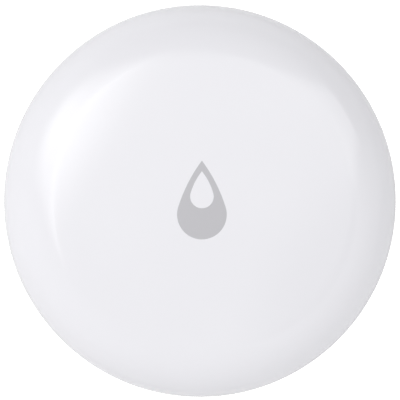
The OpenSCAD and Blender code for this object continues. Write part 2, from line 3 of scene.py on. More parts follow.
import bmesh
import bpy
import numpy as np
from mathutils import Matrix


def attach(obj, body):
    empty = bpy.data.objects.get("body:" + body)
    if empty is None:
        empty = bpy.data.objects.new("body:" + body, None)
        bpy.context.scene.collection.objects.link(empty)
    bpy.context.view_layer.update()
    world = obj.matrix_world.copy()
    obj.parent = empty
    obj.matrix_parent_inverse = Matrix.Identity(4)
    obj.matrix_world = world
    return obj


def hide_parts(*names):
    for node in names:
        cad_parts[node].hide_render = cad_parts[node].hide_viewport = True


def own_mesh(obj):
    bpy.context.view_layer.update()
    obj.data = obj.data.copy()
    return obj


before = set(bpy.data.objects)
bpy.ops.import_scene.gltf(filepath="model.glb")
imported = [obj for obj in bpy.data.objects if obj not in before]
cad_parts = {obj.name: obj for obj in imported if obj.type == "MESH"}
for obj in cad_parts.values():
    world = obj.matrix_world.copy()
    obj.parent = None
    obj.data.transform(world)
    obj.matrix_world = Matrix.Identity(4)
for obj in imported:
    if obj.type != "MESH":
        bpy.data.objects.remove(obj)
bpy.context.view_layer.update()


# Camera
# A long lens above the sensor, two degrees off its axis, with the drop's tip towards the top of the
# picture. The picture's 400 pixels span 51 mm at the body's widest line.
widest_line_z = 0.0072
camera_height = 1.5
picture_span = 0.05102
aim_x, aim_y = -0.000005, 0.000117
camera_x, camera_y = -0.046, -0.023

camera_data = bpy.data.cameras.new("camera_above")
camera = bpy.data.objects.new("camera_above", camera_data)
bpy.context.scene.collection.objects.link(camera)
camera.location = (camera_x, camera_y, widest_line_z + camera_height)
reach = math.dist((camera_x, camera_y, camera_height), (aim_x, aim_y, 0.0))
tilt = math.asin((aim_y - camera_y) / reach)
camera.rotation_euler = (tilt, math.asin((camera_x - aim_x) / reach / math.cos(tilt)), 0.0)
camera_data.sensor_width = 36.0
camera_data.lens = camera_data.sensor_width * reach / picture_span
bpy.context.scene.camera = camera


# Base housing
# One white ABS moulding with a fine spark-eroded skin: a shallow dish, the collar that the cover
# slides on, the battery bay, the bosses for screws and probes, and three feet. Sizes in millimetres.
body_r = 25.0
base_z = 0.6
base_wall = 1.4
base_round = 5.0
base_flat_r = body_r - base_round
seam_z = 4.7187
ledge_t = 1.2
collar_r = 23.35
collar_in_r = 21.55
collar_top_z = 7.2187
recess_r = 13.51
door_seat_z = 2.0
bay_bore_r = 12.26
bay_cell_r = 10.3
bay_step_z = 3.75
bay_top_z = 5.55
bay_wall = 1.3
bay_wall_r = bay_bore_r + bay_wall
bay_foot_r = 15.73
bay_foot_top_z = 3.2
board_z = 6.6
lug_lead = 12.0
columns = 360


def arc(centre, radius, start, end, steps):
    """Points centre + radius * (cos a, sin a), for a from start to end in degrees."""
    a = np.radians(np.linspace(start, end, steps + 1))
    return np.stack([centre[0] + radius * np.cos(a), centre[1] + radius * np.sin(a)], axis=1)


def rounded(corners, closed=True, steps=6):
    """Line through corners (u, v, radius), each replaced by an arc that touches both its sides.

    The arc's centre lies on the bisector at radius / sin(half the corner's angle). Long straight
    runs get a point close to each end, so that smooth shading stays flat between them."""
    given = np.asarray(corners, float)
    p, radius = given[:, :2], given[:, 2:3]
    to_last, to_next = np.roll(p, 1, 0) - p, np.roll(p, -1, 0) - p
    to_last /= np.maximum(np.linalg.norm(to_last, axis=1, keepdims=True), 1e-9)
    to_next /= np.maximum(np.linalg.norm(to_next, axis=1, keepdims=True), 1e-9)
    half = np.arccos(np.clip((to_last * to_next).sum(1, keepdims=True), -1, 1)) / 2
    half = np.clip(half, 1e-4, math.pi / 2 - 1e-4)
    bisector = to_last + to_next
    bisector /= np.maximum(np.linalg.norm(bisector, axis=1, keepdims=True), 1e-9)
    centre = p + bisector * radius / np.sin(half)
    reach = radius / np.tan(half)
    first, last = p + to_last * reach - centre, p + to_next * reach - centre
    turn = math.pi - 2 * half
    f = np.linspace(0, 1, steps + 1)[None, :, None]
    turn3 = turn[:, None, :]
    swept = np.sin((1 - f) * turn3) * first[:, None] + np.sin(f * turn3) * last[:, None]
    line = (centre[:, None] + swept / np.sin(turn3)).reshape(-1, 2)
    if not closed:
        line = line[steps // 2: len(line) - steps // 2]
    step = np.linalg.norm(np.diff(line, axis=0), axis=1)
    line = line[np.concatenate([[True], step > 1e-4])]
    if closed and np.linalg.norm(line[0] - line[-1]) < 1e-4:
        line = line[:-1]
    following = np.roll(line, -1, 0) if closed else line[1:]
    here = line if closed else line[:-1]
    run = following - here
    length = np.linalg.norm(run, axis=1, keepdims=True)
    near = 0.06
    along = run / np.maximum(length, 1e-9) * near
    trio = np.stack([here, here + along, following - along], axis=1)
    keep = np.repeat(length > 5 * near, 3, axis=1)
    keep[:, 0] = True
    dense = trio[keep]
    return dense if closed else np.concatenate([dense, line[-1:]])


def lathe(line, count=columns):
    """Loops of points (r cos a, r sin a, z): each point (r, z) of the line turned about Z."""
    line = np.asarray(line, float)
    a = np.arange(count) * 2 * math.pi / count
    circle = np.stack([np.cos(a), np.sin(a)], axis=1)
    loops = np.empty((len(line), count, 3))
    loops[..., :2] = line[:, None, :1] * circle[None]
    loops[..., 2] = line[:, None, 1]
    return loops


def skin(name, loops, ring=False):
    """Mesh over loops of points: quads between each loop and the next, closed around each loop.

    With ring, the last loop also joins the first. Otherwise an end loop that isn't one point is
    closed by a flat face. Equal points are merged and the faces are turned outwards."""
    rows, count = loops.shape[:2]
    index = np.arange(rows * count).reshape(rows, count)
    if ring:
        index = np.concatenate([index, index[:1]])
    low, high = index[:-1], index[1:]
    quads = np.stack([low, np.roll(low, -1, 1), np.roll(high, -1, 1), high], axis=-1).reshape(-1, 4)
    faces = quads.tolist()
    if not ring:
        faces += [index[0][::-1].tolist(), index[-1].tolist()]
    mesh = bpy.data.meshes.new(name)
    mesh.from_pydata(loops.reshape(-1, 3).tolist(), [], faces)
    work = bmesh.new()
    work.from_mesh(mesh)
    bmesh.ops.remove_doubles(work, verts=work.verts, dist=1e-5)
    bmesh.ops.dissolve_degenerate(work, dist=1e-6, edges=work.edges)
    bmesh.ops.recalc_face_normals(work, faces=work.faces)
    work.to_mesh(mesh)
    work.free()
    piece = bpy.data.objects.new(name, mesh)
    bpy.context.scene.collection.objects.link(piece)
    return piece


def moved(loops, angle, radius):
    """The loops shifted out along X by radius, then turned about Z by angle in degrees."""
    a = math.radians(angle)
    out = loops + np.array([radius, 0.0, 0.0])
    turn = np.array([[math.cos(a), math.sin(a), 0], [-math.sin(a), math.cos(a), 0], [0, 0, 1]])
    return out @ turn


def sector(line, angle, middle, steps=16):
    """Loops of a closed section line (r, z) swept about Z over angle degrees around a middle angle."""
    line = np.asarray(line, float)
    a = np.radians(middle + np.linspace(-angle / 2, angle / 2, steps + 1))
    loops = np.empty((steps + 1, len(line), 3))
    loops[..., 0] = np.cos(a)[:, None] * line[None, :, 0]
    loops[..., 1] = np.sin(a)[:, None] * line[None, :, 0]
    loops[..., 2] = line[None, :, 1]
    return loops


def helix(start, end, r_in, r_out, z_middle, thick, middle, lead=lug_lead):
    """Loops of a rectangle swept about Z from start to end degrees, climbing by lead in a turn."""
    steps = max(8, int(abs(end - start) / 1.5))
    turn = np.linspace(start, end, steps + 1)
    a = np.radians(turn + middle)
    r = np.array([r_in, r_out, r_out, r_in])
    dz = np.array([-0.5, -0.5, 0.5, 0.5]) * thick
    loops = np.empty((steps + 1, 4, 3))
    loops[..., 0] = np.cos(a)[:, None] * r
    loops[..., 1] = np.sin(a)[:, None] * r
    loops[..., 2] = z_middle + lead * turn[:, None] / 360 + dz
    return loops


def bar(size_x, size_y, low, high, at=(0.0, 0.0)):
    """Two rectangular loops, one above the other: a straight block."""
    x, y = size_x / 2, size_y / 2
    outline = np.array([(-x, -y), (x, -y), (x, y), (-x, y)]) + at
    return np.stack([np.column_stack([outline, np.full(4, z)]) for z in (low, high)])


def worked(piece, joined=(), cut=()):
    """Adds the joined pieces to a piece, takes the cut ones out of it, and removes both."""
    for kind, tools in (("UNION", joined), ("DIFFERENCE", cut)):
        for tool in tools:
            step = piece.modifiers.new(kind, "BOOLEAN")
            step.operation, step.solver, step.object = kind, "MANIFOLD", tool
    solved = piece.evaluated_get(bpy.context.evaluated_depsgraph_get())
    mesh = bpy.data.meshes.new_from_object(solved)
    piece.modifiers.clear()
    piece.data = mesh
    for tool in (*joined, *cut):
        bpy.data.objects.remove(tool)
    return piece


def settled(piece, finish, body, slot, *nodes, crease=32.0):
    """Brings a piece from millimetres to metres, smooths it up to a crease angle, and rides it."""
    mesh = piece.data
    points = np.empty(len(mesh.vertices) * 3)
    mesh.vertices.foreach_get("co", points)
    mesh.vertices.foreach_set("co", points * 0.001)
    mesh.shade_smooth()
    mesh.set_sharp_from_angle(angle=math.radians(crease))
    mesh.materials.clear()
    mesh.materials.append(finish)
    mesh.update()
    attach(piece, body)
    if nodes:
        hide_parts(*nodes)
    return piece


def linked(tree, kind, inputs=(), **settings):
    """A new shader node; each input is a value, or the output of another node that feeds it."""
    made = tree.nodes.new(kind)
    for key, value in settings.items():
        setattr(made, key, value)
    for key, value in dict(inputs).items():
        if isinstance(value, bpy.types.NodeSocket):
            tree.links.new(value, made.inputs[key])
        else:
            made.inputs[key].default_value = value
    return made


def finish_of(name, **values):
    """A material with a Principled shader whose fixed values are set on its own sockets."""
    made = bpy.data.materials.new(name)
    made.use_nodes = True
    tree = made.node_tree
    shader = tree.nodes["Principled BSDF"]
    for key, value in values.items():
        shader.inputs[key.replace("_", " ")].default_value = value
    place = linked(tree, "ShaderNodeTexCoord").outputs["Object"]
    return made, tree, shader, place


def effect(name, inputs, outputs):
    """An empty node group with float or vector inputs and outputs, given as (name, kind)."""
    group = bpy.data.node_groups.new(name, "ShaderNodeTree")
    for direction, sockets in (("INPUT", inputs), ("OUTPUT", outputs)):
        for key, kind in sockets:
            group.interface.new_socket(key, in_out=direction, socket_type="NodeSocket" + kind)
    return group, linked(group, "NodeGroupInput").outputs, linked(group, "NodeGroupOutput").inputs


def use(tree, group, **inputs):
    """Places a node group in a material and returns its outputs."""
    return linked(tree, "ShaderNodeGroup", inputs, node_tree=group).outputs


# Skin of a moulding: grain of the tool's surface and slow flow marks, both from 3-D noise
moulded_skin, given, out = effect(
    "moulded_skin",
    [("Place", "Vector"), ("Grain", "Float"), ("Flow", "Float")],
    [("Height", "Float"), ("Tone", "Float")],
)
grain = linked(moulded_skin, "ShaderNodeTexNoise",
               {"Vector": given["Place"], "Scale": given["Grain"], "Detail": 3.0, "Roughness": 0.6})
flow = linked(moulded_skin, "ShaderNodeTexNoise",
              {"Vector": given["Place"], "Scale": given["Flow"], "Detail": 2.0, "Roughness": 0.5})
moulded_skin.links.new(grain.outputs["Fac"], out["Height"])
moulded_skin.links.new(flow.outputs["Fac"], out["Tone"])


def between(tree, factor, low, high, from_low=0.3, from_high=0.7):
    """Maps a factor linearly from one span to another."""
    return linked(tree, "ShaderNodeMapRange", {
        "Value": factor, "From Min": from_low, "From Max": from_high,
        "To Min": low, "To Max": high}).outputs["Result"]


def blended(tree, factor, low, high):
    """Mixes two colours by a factor."""
    made = linked(tree, "ShaderNodeMix", {"Factor": factor, 6: (*low, 1.0), 7: (*high, 1.0)},
                  data_type="RGBA")
    return made.outputs[2]


def bumped(tree, shader, height, depth, strength=1.0):
    """Feeds a height, in units of depth metres, to the shader's normal."""
    made = linked(tree, "ShaderNodeBump", {"Height": height, "Distance": depth, "Strength": strength})
    tree.links.new(made.outputs["Normal"], shader.inputs["Normal"])


base_plastic, tree, shader, place = finish_of("base_plastic", IOR=1.5)
skin_out = use(tree, moulded_skin, Place=place, Grain=5200.0, Flow=160.0)
tree.links.new(blended(tree, skin_out["Tone"], (0.80, 0.80, 0.815), (0.835, 0.835, 0.85)),
               shader.inputs["Base Color"])
tree.links.new(between(tree, skin_out["Height"], 0.42, 0.56), shader.inputs["Roughness"])
bumped(tree, shader, skin_out["Height"], 0.00003, 0.5)

round_centre = (base_flat_r, base_z + base_round)
outer_round = arc(round_centre, base_round, -90, -17, 26)
inner_round = arc(round_centre, base_round - base_wall, -37, -90, 14)
seam_r = base_flat_r + math.sqrt(base_round ** 2 - (seam_z - base_z - base_round) ** 2)
ledge_z = seam_z - ledge_t
base_line = rounded(
    [(recess_r, base_z, 0.15)]
    + [(r, z, 0.0) for r, z in outer_round]
    + [(seam_r, seam_z, 0.3), (collar_r, seam_z, 0.12),
       (collar_r, collar_top_z, 0.25), (collar_in_r, collar_top_z, 0.25),
       (collar_in_r, ledge_z, 0.15)]
    + [(r, z, 0.0) for r, z in inner_round]
    + [(bay_foot_r, base_z + base_wall, 0.2), (bay_foot_r, bay_foot_top_z, 0.2),
       (bay_wall_r, bay_foot_top_z, 0.2), (bay_wall_r, bay_top_z, 0.2),
       (bay_cell_r, bay_top_z, 0.3), (bay_cell_r, bay_step_z, 0.15),
       (bay_bore_r, bay_step_z, 0.1), (bay_bore_r, door_seat_z, 0.2), (recess_r, door_seat_z, 0.1)]
)
base_housing = skin("base_housing_shell", lathe(base_line), ring=True)

# Feet and bosses that stand on the dish
foot_angles = (30, 150, 270)
foot_at, foot_r, foot_tip_r = 17.5, 1.5, 1.42
screw_at, boss_r = 18.1, 1.95
probe_angles = (0, 180)
probe_at, probe_boss_r, probe_boss_z = 17.5, 2.56, 2.9
sunk_z = base_z + 0.2
foot_line = rounded([(0, 0, 0), (foot_tip_r, 0, 0.2), (foot_r, sunk_z, 0), (0, sunk_z, 0)], closed=False)
boss_line = [(0, sunk_z), (boss_r, sunk_z), (boss_r, board_z), (0, board_z)]
probe_boss_line = [(0, sunk_z), (probe_boss_r, sunk_z), (probe_boss_r, probe_boss_z), (0, probe_boss_z)]
base_joined = [skin("foot", moved(lathe(foot_line, 72), a, foot_at)) for a in foot_angles]
base_joined += [skin("boss", moved(lathe(boss_line, 64), a, screw_at)) for a in foot_angles]
base_joined += [skin("probe_boss", moved(lathe(probe_boss_line, 72), a, probe_at)) for a in probe_angles]

# Bores, the hooks' pockets, the lugs' grooves, the clip's window and the two lock marks
hook_angles = (45, 135, 225, 315)
lug_angles = (90, 210, 330)
below_z = base_z - 0.3
head_bore_r, head_z, ring_bore_r, ring_top_z, pin_bore_r = 2.1, 1.1, 1.66, 1.96, 0.83
pin_exit_z = board_z + 0.5
probe_bore_line = [
    (0, below_z), (head_bore_r + 0.3, below_z), (head_bore_r + 0.15, base_z), (head_bore_r, base_z + 0.15),
    (head_bore_r, head_z), (ring_bore_r, head_z), (ring_bore_r, ring_top_z), (pin_bore_r, ring_top_z),
    (pin_bore_r, pin_exit_z), (0, pin_exit_z)]
pilot_r, pilot_z, pilot_exit_z = 0.78, 2.8, 7.0
pilot_mouth_r = pilot_r + 0.2
pilot_line = [(0, pilot_z), (pilot_r, pilot_z), (pilot_r, board_z - 0.2), (pilot_mouth_r, board_z + 0.01),
              (pilot_mouth_r, pilot_exit_z), (0, pilot_exit_z)]
hook_w, hook_at, pocket_gap = 5.0, 23.5, 0.5
pocket_in_r, pocket_z, pocket_top_z = 22.45, 5.4687, 6.7687
pocket_out_r = collar_r + 0.2
pocket_line = [(pocket_in_r, pocket_z), (pocket_out_r, pocket_z), (pocket_out_r, pocket_top_z),
               (pocket_in_r, pocket_top_z)]
pocket_angle = math.degrees((hook_w + 2 * pocket_gap) / hook_at)
lug_t, lug_gap, lug_z = 0.7, 0.12, 1.3
groove_t = lug_t + 2 * lug_gap
groove_end = -(lug_z + groove_t / 2 - base_z + 0.2) * 360 / lug_lead
groove_stop, lug_groove_r = 10.5, 14.73
lock_angle, open_angle = 240, 200
mark_r, mark_in_r, mark_ease = 0.6, 0.3, 0.06
mark_at = bay_foot_r + mark_r
mark_floor_r = mark_r - 0.05
dot_line = [(0, below_z), (mark_r + mark_ease, below_z), (mark_r, base_z + mark_ease),
            (mark_floor_r, sunk_z), (0, sunk_z)]
ring_line = [(mark_in_r - 0.02, below_z), *dot_line[1:4], (mark_in_r + 0.05, sunk_z),
             (mark_in_r, base_z + mark_ease)]
window_w, window_in_r, window_out_r, window_z, window_top_z = 5.0, 10.0, 13.76, 3.95, 6.5
window_loops = bar(window_w, window_out_r - window_in_r, window_z, window_top_z,
                   (0, (window_in_r + window_out_r) / 2))
base_cut = [skin("probe_bore", moved(lathe(probe_bore_line, 96), a, probe_at)) for a in probe_angles]
base_cut += [skin("pilot", moved(lathe(pilot_line, 48), a, screw_at)) for a in foot_angles]
base_cut += [skin("pocket", sector(pocket_line, pocket_angle, a)) for a in hook_angles]
base_cut += [skin("groove", helix(groove_end, groove_stop, recess_r - 0.3, lug_groove_r, lug_z, groove_t, a))
             for a in lug_angles]
base_cut += [skin("closed_mark", moved(lathe(dot_line, 48), lock_angle, mark_at)),
             skin("open_mark", moved(lathe(ring_line, 48), open_angle, mark_at), ring=True),
             skin("window", window_loops)]
worked(base_housing, base_joined, base_cut)
settled(base_housing, base_plastic, "base", "base_plastic", "base_housing")


# Probes
# Two turned brass pins with nickel plate. Each is pressed through the base on a small rubber ring,
# and its tail is soldered in the board. The face shows the lathe's rings around a small centre dimple.
turned_face, given, out = effect(
    "turned_face",
    [("Place", "Vector"), ("Centre", "Vector"), ("Rings", "Float")],
    [("Height", "Float"), ("Speck", "Float")],
)
apart = linked(turned_face, "ShaderNodeVectorMath", {0: given["Place"]}, operation="ABSOLUTE")
offset = linked(turned_face, "ShaderNodeVectorMath", {0: apart.outputs[0], 1: given["Centre"]},
                operation="SUBTRACT")
flat = linked(turned_face, "ShaderNodeVectorMath", {0: offset.outputs[0], 1: (1.0, 1.0, 0.0)},
              operation="MULTIPLY")
distance = linked(turned_face, "ShaderNodeVectorMath", {0: flat.outputs[0]}, operation="LENGTH")
along_r = linked(turned_face, "ShaderNodeCombineXYZ", {"X": distance.outputs["Value"]})
rings = linked(turned_face, "ShaderNodeTexNoise",
               {"Vector": along_r.outputs[0], "Scale": given["Rings"], "Detail": 4.0, "Roughness": 0.7})
speck = linked(turned_face, "ShaderNodeTexNoise",
               {"Vector": given["Place"], "Scale": 2600.0, "Detail": 4.0, "Roughness": 0.65})
turned_face.links.new(rings.outputs["Fac"], out["Height"])
turned_face.links.new(speck.outputs["Fac"], out["Speck"])

probe_nickel, tree, shader, place = finish_of("probe_nickel", Metallic=1.0)
face = use(tree, turned_face, Place=place, Centre=(probe_at * 0.001, 0.0, 0.0), Rings=9000.0)
tree.links.new(blended(tree, face["Speck"], (0.70, 0.67, 0.61), (0.80, 0.78, 0.74)),
               shader.inputs["Base Color"])
tree.links.new(between(tree, face["Speck"], 0.19, 0.28), shader.inputs["Roughness"])
bumped(tree, shader, face["Height"], 0.00002, 0.6)

probe_r, probe_face_z, pin_r, pin_top_z = 2.0, 0.2, 0.8, 8.4
dimple_r, dimple_rim_r, dimple_z = 0.25, 0.38, 0.3
probe_line = rounded([
    (0, dimple_z, 0), (dimple_r, dimple_z, 0.1), (dimple_rim_r, probe_face_z, 0.08),
    (probe_r, probe_face_z, 0.25), (probe_r, head_z, 0.08), (pin_r, head_z, 0), (pin_r, pin_top_z, 0.15),
    (0, pin_top_z, 0)], closed=False)
for name, angle in (("probe_left", 180), ("probe_right", 0)):
    pin = skin(name + "_pin", moved(lathe(probe_line, 128), angle, probe_at))
    settled(pin, probe_nickel, "base", "probe_nickel", name)


# Rubber rings of the probes
# Small O-rings of dark silicone in the counterbores behind the probes' heads. They keep their CAD
# solids and get a dull rubber skin with a little bloom on it.
seal_rubber, tree, shader, place = finish_of("seal_rubber", IOR=1.42)
skin_out = use(tree, moulded_skin, Place=place, Grain=7000.0, Flow=420.0)
tree.links.new(blended(tree, skin_out["Tone"], (0.022, 0.022, 0.024), (0.05, 0.05, 0.052)),
               shader.inputs["Base Color"])
tree.links.new(between(tree, skin_out["Tone"], 0.5, 0.72), shader.inputs["Roughness"])
bumped(tree, shader, skin_out["Height"], 0.00002, 0.4)


def dressed(node, finish):
    """Gives a CAD node's material slots a finish."""
    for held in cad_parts[node].material_slots:
        held.material = finish


dressed("probe_seals", seal_rubber)


# Circuit board
# A round glass-laminate board with green solder mask over etched tracks. It rests on three bosses,
# held by pan-head screws of zinc-plated steel.
board_laminate, tree, shader, place = finish_of("board_laminate", IOR=1.55)
lanes = linked(tree, "ShaderNodeTexVoronoi", {"Vector": place, "Scale": 260.0},
               distance="CHEBYCHEV", feature="F1", voronoi_dimensions="2D")
split = linked(tree, "ShaderNodeSeparateColor", {0: lanes.outputs["Color"]})
across = linked(tree, "ShaderNodeTexWave", {"Vector": place, "Scale": 420.0}, bands_direction="X")
along = linked(tree, "ShaderNodeTexWave", {"Vector": place, "Scale": 420.0}, bands_direction="Y")
chosen = linked(tree, "ShaderNodeMath", {0: split.outputs[0], 1: 0.5}, operation="GREATER_THAN")
line_mix = linked(tree, "ShaderNodeMix", {
    "Factor": chosen.outputs[0], 2: across.outputs["Fac"], 3: along.outputs["Fac"]})
used = linked(tree, "ShaderNodeMath", {0: split.outputs[1], 1: 0.45}, operation="GREATER_THAN")
track = linked(tree, "ShaderNodeMapRange",
               {"Value": line_mix.outputs[0], "From Min": 0.55, "From Max": 0.7})
tracks = linked(tree, "ShaderNodeMath", {0: track.outputs[0], 1: used.outputs[0]}, operation="MULTIPLY")
tree.links.new(blended(tree, tracks.outputs[0], (0.008, 0.075, 0.03), (0.02, 0.15, 0.06)),
               shader.inputs["Base Color"])
tree.links.new(between(tree, tracks.outputs[0], 0.34, 0.26, 0.0, 1.0), shader.inputs["Roughness"])
bumped(tree, shader, tracks.outputs[0], 0.00003, 0.6)
dressed("circuit_board", board_laminate)


def bright_metal(name, dark, light, smooth, rough, grain_size=3200.0):
    """A metal finish whose colour and roughness vary with a fine noise, for plate and stamped sheet."""
    made, tree, shader, place = finish_of(name, Metallic=1.0)
    skin_out = use(tree, moulded_skin, Place=place, Grain=grain_size, Flow=grain_size / 8)
    tree.links.new(blended(tree, skin_out["Tone"], dark, light), shader.inputs["Base Color"])
    tree.links.new(between(tree, skin_out["Height"], smooth, rough), shader.inputs["Roughness"])
    bumped(tree, shader, skin_out["Height"], 0.000015, 0.4)
    return made


def dull_resin(name, dark, light, smooth, rough, grain_size=4200.0):
    """A moulded resin finish whose colour and roughness vary with a fine noise."""
    made, tree, shader, place = finish_of(name, IOR=1.5)
    skin_out = use(tree, moulded_skin, Place=place, Grain=grain_size, Flow=grain_size / 10)
    tree.links.new(blended(tree, skin_out["Tone"], dark, light), shader.inputs["Base Color"])
    tree.links.new(between(tree, skin_out["Height"], smooth, rough), shader.inputs["Roughness"])
    bumped(tree, shader, skin_out["Height"], 0.00002, 0.4)
    return made


dressed("board_screws", bright_metal("screw_steel", (0.50, 0.52, 0.55), (0.62, 0.63, 0.64), 0.22, 0.38))
tin_plate = bright_metal("tin_plate", (0.62, 0.62, 0.61), (0.74, 0.74, 0.72), 0.24, 0.42)
dressed("probe_solder", tin_plate)


# Push switch
# A small square switch in the middle of the board: black resin housing, stamped frame, snap dome,
# plunger and four tinned terminals. The dome is a shallow cap of sheet steel that snaps flat.
dressed("switch_housing", dull_resin("switch_plastic", (0.012, 0.012, 0.012), (0.02, 0.02, 0.02), 0.4, 0.55))
dressed("switch_plunger", dull_resin("plunger_plastic", (0.03, 0.03, 0.03), (0.045, 0.045, 0.045), 0.35, 0.5))
switch_steel = bright_metal("switch_steel", (0.58, 0.58, 0.58), (0.68, 0.68, 0.68), 0.2, 0.34)
dressed("switch_frame", switch_steel)
dressed("switch_terminals", tin_plate)

dome_foot_z, dome_h, dome_rim_r, dome_t = 8.2, 0.6, 2.2, 0.1
dome_r = (dome_rim_r ** 2 + dome_h ** 2) / (2 * dome_h)
dome_slope = math.degrees(math.asin(dome_rim_r / dome_r))
dome_centre = (0.0, dome_foot_z + dome_h - dome_r)
dome_line = np.concatenate([arc(dome_centre, dome_r, 90, 90 - dome_slope, 16),
                            arc(dome_centre, dome_r - dome_t, 90 - dome_slope + 3, 90, 16)])
dome_line[:, 1] = np.maximum(dome_line[:, 1], dome_foot_z)
dome = skin("switch_snap_dome", lathe(dome_line, 96))
settled(dome, switch_steel, "base", "switch_steel", "switch_dome")
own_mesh(dome)


# Chips and aerial
# The radio chip, its crystal, the lamp, rows of small ceramic parts with tinned ends, and the
# folded copper aerial, all soldered to the board's upper face.
dressed("radio_chip", dull_resin("chip_resin", (0.010, 0.010, 0.011), (0.018, 0.018, 0.019), 0.45, 0.6))
dressed("crystal", bright_metal("crystal_can", (0.60, 0.60, 0.57), (0.70, 0.70, 0.66), 0.25, 0.4))
dressed("antenna_trace", bright_metal("copper_track", (0.62, 0.30, 0.16), (0.74, 0.42, 0.26), 0.28, 0.45))

lamp_resin, tree, shader, place = finish_of("lamp_resin", IOR=1.5)
skin_out = use(tree, moulded_skin, Place=place, Grain=3000.0, Flow=900.0)
tree.links.new(blended(tree, skin_out["Tone"], (0.55, 0.60, 0.68), (0.68, 0.72, 0.80)),
               shader.inputs["Base Color"])
tree.links.new(between(tree, skin_out["Tone"], 0.08, 0.2), shader.inputs["Roughness"])
dressed("status_led", lamp_resin)

# A part's tinned ends lie beyond end_at from its middle; parts stand one pitch apart in X, in metres
chip_x, chip_pitch, end_at = 0.0069, 0.0026, 0.0005
chip_ceramic, tree, shader, place = finish_of("chip_ceramic", IOR=1.55)
axes = linked(tree, "ShaderNodeSeparateXYZ", {"Vector": place})
from_first = linked(tree, "ShaderNodeMath", {0: axes.outputs["X"], 1: chip_x - chip_pitch / 2},
                    operation="SUBTRACT")
in_pitch = linked(tree, "ShaderNodeMath", {0: from_first.outputs[0], 1: chip_pitch}, operation="FLOORED_MODULO")
from_middle = linked(tree, "ShaderNodeMath", {0: in_pitch.outputs[0], 1: chip_pitch / 2}, operation="SUBTRACT")
off_middle = linked(tree, "ShaderNodeMath", {0: from_middle.outputs[0]}, operation="ABSOLUTE")
tinned = linked(tree, "ShaderNodeMath", {0: off_middle.outputs[0], 1: end_at}, operation="GREATER_THAN")
skin_out = use(tree, moulded_skin, Place=place, Grain=5000.0, Flow=700.0)
ceramic = blended(tree, skin_out["Tone"], (0.16, 0.10, 0.06), (0.24, 0.16, 0.10))
ends = linked(tree, "ShaderNodeMix", {"Factor": tinned.outputs[0], 6: ceramic, 7: (0.66, 0.66, 0.64, 1.0)},
              data_type="RGBA")
tree.links.new(ends.outputs[2], shader.inputs["Base Color"])
tree.links.new(tinned.outputs[0], shader.inputs["Metallic"])
tree.links.new(between(tree, skin_out["Height"], 0.3, 0.45), shader.inputs["Roughness"])
dressed("chip_parts", chip_ceramic)


# Contacts of the coin cell
# Two strips of spring bronze with a gold flash, soldered under the board. One bows against the
# can's side, the other presses on the cap from above. Each is bent from 0.25 mm sheet.
contact_bronze = bright_metal("contact_bronze", (0.74, 0.52, 0.22), (0.86, 0.66, 0.34), 0.16, 0.3)
strip_t, strip_w, strip_z = 0.25, 4.0, 6.445


def bent_strip(name, corners, turn):
    """A strip carried along a rounded line (along, height): its section is a flat rectangle with
    eased edges, set square to the line's direction, then turned about Z in degrees."""
    line = rounded(corners, closed=False, steps=8)
    ahead = np.gradient(line, axis=0)
    ahead /= np.linalg.norm(ahead, axis=1, keepdims=True)
    normal = np.stack([-ahead[:, 1], ahead[:, 0]], axis=1)
    ease = 0.06
    t, w = strip_t / 2, strip_w / 2
    section = np.array([(-t + ease, -w), (t - ease, -w), (t, -w + ease), (t, w - ease),
                        (t - ease, w), (-t + ease, w), (-t, w - ease), (-t, -w + ease)])
    loops = np.empty((len(line), len(section), 3))
    loops[..., 0] = line[:, None, 0] + normal[:, None, 0] * section[None, :, 0]
    loops[..., 1] = section[None, :, 1]
    loops[..., 2] = line[:, None, 1] + normal[:, None, 1] * section[None, :, 0]
    return skin(name, moved(loops, turn, 0.0))


clip = bent_strip("positive_clip_strip", [
    (12.6, strip_z, 0), (10.725, strip_z, 0.35), (10.725, 5.25, 0.6), (10.165, 4.45, 0.3),
    (10.7, 4.17, 0)], 90)
settled(clip, contact_bronze, "base", "contact_bronze", "cell_positive_clip")
spring = bent_strip("negative_spring_strip", [
    (-9.0, strip_z, 0), (-6.0, strip_z, 0.9), (-0.8, 5.41, 1.2), (0.8, 5.41, 0.6), (1.55, 5.78, 0)], 0)
settled(spring, contact_bronze, "base", "contact_bronze", "cell_negative_spring")


# Coin cell
# A standard 20 by 3.2 mm cell: a drawn steel can with its edge crimped in over a black gasket, and
# a cap on top, both plated with nickel. The can's face has a sunk plus sign.
cell_z, cell_h, cell_r = 2.05, 3.2, 10.0
cell_steel, tree, shader, place = finish_of("cell_steel", Metallic=1.0)
face = use(tree, turned_face, Place=place, Centre=(0.0, 0.0, 0.0), Rings=5200.0)
tree.links.new(blended(tree, face["Speck"], (0.56, 0.56, 0.55), (0.68, 0.68, 0.67)),
               shader.inputs["Base Color"])
tree.links.new(between(tree, face["Height"], 0.2, 0.36), shader.inputs["Roughness"])
bumped(tree, shader, face["Height"], 0.000012, 0.5)

sheet_t, can_h, lip_r = 0.3, 2.8, 9.06
can_in_r = cell_r - sheet_t
can_line = np.array(rounded([
    (0, 0, 0), (cell_r, 0, 0.4), (cell_r, can_h - 0.35, 0.3), (lip_r + 0.35, can_h, 0.2), (lip_r, can_h, 0.08),
    (lip_r, can_h - 0.25, 0.05), (can_in_r, can_h - 0.65, 0.2), (can_in_r, sheet_t, 0.1),
    (0, sheet_t, 0)], closed=False)) + (0, cell_z)
can = skin("coin_cell_can_shell", lathe(can_line, 256))
plus_l, plus_w, plus_at = 4.6, 0.9, (0.0, 5.6)
plus_z, plus_floor_z = cell_z - 0.2, cell_z + 0.06
worked(can, cut=[skin("plus_bar", bar(plus_l, plus_w, plus_z, plus_floor_z, plus_at)),
                 skin("plus_post", bar(plus_w, plus_l, plus_z, plus_floor_z, plus_at))])
settled(can, cell_steel, "cell", "cell_steel", "coin_cell_can")

